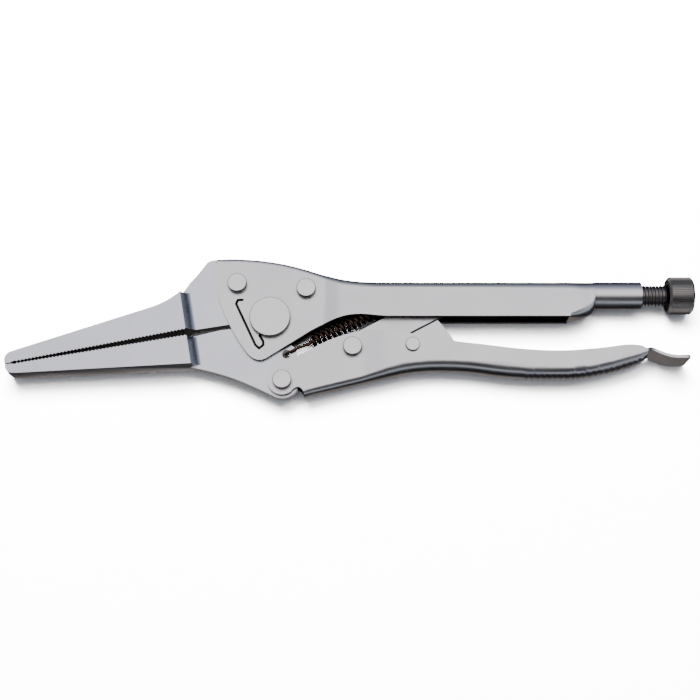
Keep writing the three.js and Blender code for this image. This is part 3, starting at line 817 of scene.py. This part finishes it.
class PLIERS_OT_stage(bpy.types.Operator):
    """Pale floor, soft studio light and the camera"""

    bl_idname = "pliers.stage"
    bl_label = "Stage"

    def execute(self, context):
        self.camera()
        self.floor()
        self.lights()
        self.world()
        return {"FINISHED"}

    def camera(self):
        data = bpy.data.cameras.new("camera")
        data.sensor_width = 36
        data.lens = 68.57
        data.clip_start = 0.01
        camera = bpy.data.objects.new("camera", data)
        tilt = math.radians(15.5)
        target = Vector((29.1 * MM, -12.8 * MM, 12.0 * MM))
        away = 480 * MM
        camera.location = target + away * Vector((0, -math.sin(tilt), math.cos(tilt)))
        camera.rotation_euler = (tilt, 0, 0)
        bpy.context.scene.collection.objects.link(camera)
        bpy.context.scene.camera = camera

    def floor(self):
        bpy.ops.object.select_all(action="DESELECT")
        bpy.ops.mesh.primitive_plane_add(size=6, location=(0.03, 0, CAD_BOX[0][2]))
        floor = bpy.context.active_object
        floor.name = floor.data.name = "floor"
        apply_place(floor)
        material = bpy.data.materials.new("pale_paper")
        material.use_nodes = True
        tree = material.node_tree
        shader = tree.nodes["Principled BSDF"]
        shader.inputs["Base Color"].default_value = linear(finish().floor)
        shader.inputs["Roughness"].default_value = 0.9
        shader.inputs["Specular IOR Level"].default_value = 0.1
        floor.data.materials.append(material)
        floor.visible_glossy = False

    def area(self, name, place, target, width, height, power):
        data = bpy.data.lights.new(name, "AREA")
        data.shape = "RECTANGLE"
        data.size, data.size_y = width, height
        data.energy = power
        lamp = bpy.data.objects.new(name, data)
        lamp.location = place
        aim = Vector(target) - Vector(place)
        lamp.rotation_euler = aim.to_track_quat("-Z", "Y").to_euler()
        bpy.context.scene.collection.objects.link(lamp)
        return lamp

    def lights(self):
        """Broad lamps that light the paper; the steel sees only the studio round it."""
        key = self.area("key", (-0.1, 0.5, 0.95), (0.03, 0, 0), 0.6, 0.45, 165)
        fill = self.area("fill", (0.1, 0.5, 1.25), (0.03, 0, 0), 1.2, 0.8, 125)
        for lamp in (key, fill):
            lamp.visible_glossy = False

    def world(self):
        """A soft box overhead and a little behind, a dark wall in front, grey room and paper below."""
        world = bpy.data.worlds.new("studio")
        bpy.context.scene.world = world
        world.use_nodes = True
        tree = world.node_tree
        tree.nodes.clear()
        output = add(tree, "ShaderNodeOutputWorld")
        place = add(tree, "ShaderNodeTexCoord")
        side = add(tree, "ShaderNodeSeparateXYZ", {"Vector": place.outputs["Generated"]})
        height = add(
            tree, "ShaderNodeMapRange", {"Value": side.outputs["Z"]}, From_Min=-1.0, From_Max=1.0
        )
        sky = add(tree, "ShaderNodeValToRGB", {"Fac": height.outputs["Result"]})
        tones = (
            (0.00, "141416"), (0.46, "1C1D20"), (0.52, "464B55"), (0.72, "5C626E"),
            (0.82, "7C818C"), (0.90, "B0B1B6"), (0.95, "C2C0C3"), (1.00, "C6C4C6"),
        )
        stops = sky.color_ramp.elements
        while len(stops) < len(tones):
            stops.new(0.5)
        for stop, (position, code) in zip(stops, tones):
            stop.position = position
            stop.color = linear(code)
        box_edge = add(
            tree, "ShaderNodeMapRange", {"Value": side.outputs["Y"]},
            interpolation_type="SMOOTHSTEP", From_Min=-0.40, From_Max=-0.12,
        )
        box_end = add(
            tree, "ShaderNodeMapRange", {"Value": side.outputs["X"]},
            interpolation_type="SMOOTHSTEP", From_Min=-0.85, From_Max=-0.15, To_Min=0.45,
        )
        lit = add(
            tree, "ShaderNodeMath",
            {0: box_edge.outputs["Result"], 1: box_end.outputs["Result"]}, operation="MULTIPLY",
        )
        # the wall is dark only in the middle; its ends and its foot show the grey of the room
        across = add(tree, "ShaderNodeMath", {0: side.outputs["X"]}, operation="ABSOLUTE")
        wall_end = add(
            tree, "ShaderNodeMapRange", {"Value": across.outputs["Value"]},
            interpolation_type="SMOOTHSTEP", From_Min=0.45, From_Max=0.75,
        )
        wall_foot = add(
            tree, "ShaderNodeMapRange", {"Value": side.outputs["Z"]},
            interpolation_type="SMOOTHSTEP", From_Min=0.46, From_Max=0.36,
        )
        room = add(
            tree, "ShaderNodeMath",
            {0: wall_end.outputs["Result"], 1: wall_foot.outputs["Result"]}, operation="MAXIMUM",
        )
        above = add(
            tree, "ShaderNodeMapRange", {"Value": side.outputs["Z"]},
            interpolation_type="SMOOTHSTEP", From_Min=0.02, From_Max=0.14,
        )
        shown = add(
            tree, "ShaderNodeMath",
            {0: room.outputs["Value"], 1: above.outputs["Result"]}, operation="MULTIPLY",
        )
        wall = add(
            tree, "ShaderNodeMixRGB", {"Fac": shown.outputs["Value"]},
            Color1=linear("0B0B0D"), Color2=linear("7C8088"),
        )
        walls = add(
            tree, "ShaderNodeMixRGB",
            {
                "Fac": lit.outputs["Value"],
                "Color1": wall.outputs["Color"],
                "Color2": sky.outputs["Color"],
            },
        )
        below = add(
            tree, "ShaderNodeMapRange", {"Value": side.outputs["Z"]},
            interpolation_type="SMOOTHSTEP", From_Min=-0.88, From_Max=-0.97,
        )
        tone = add(
            tree, "ShaderNodeMixRGB",
            {"Fac": below.outputs["Result"], "Color1": walls.outputs["Color"]},
            Color2=linear("5E5A58"),
        )
        light = add(tree, "ShaderNodeBackground", {"Color": tone.outputs["Color"]}, Strength=3.5)
        tree.links.new(light.outputs["Background"], output.inputs["Surface"])


# ---- Panel and registration -----------------------------------------------------------

STEPS = (
    PLIERS_OT_stage,
    PLIERS_OT_jaws,
    PLIERS_OT_handles,
    PLIERS_OT_toggle,
    PLIERS_OT_rivets,
    PLIERS_OT_screw,
    PLIERS_OT_knob,
    PLIERS_OT_spring,
)


class PLIERS_PT_panel(bpy.types.Panel):
    """The pliers' pieces, in the order they are made"""

    bl_label = "Locking pliers"
    bl_space_type = "VIEW_3D"
    bl_region_type = "UI"
    bl_category = "Pliers"

    def draw(self, context):
        for step in STEPS:
            self.layout.operator(step.bl_idname)
        for group in (context.scene.pliers_sizes, context.scene.pliers_finish):
            for name in group.__annotations__:
                self.layout.prop(group, name)


CLASSES = (PLIERS_PG_sizes, PLIERS_PG_finish, *STEPS, PLIERS_PT_panel)


def register():
    for cls in CLASSES:
        bpy.utils.register_class(cls)
    bpy.types.Scene.pliers_sizes = bpy.props.PointerProperty(type=PLIERS_PG_sizes)
    bpy.types.Scene.pliers_finish = bpy.props.PointerProperty(type=PLIERS_PG_finish)


def unregister():
    del bpy.types.Scene.pliers_finish
    del bpy.types.Scene.pliers_sizes
    for cls in reversed(CLASSES):
        bpy.utils.unregister_class(cls)


def main():
    register()
    for step in STEPS:
        group, name = step.bl_idname.split(".")
        getattr(getattr(bpy.ops, group), name)()


if __name__ == "__main__":
    main()
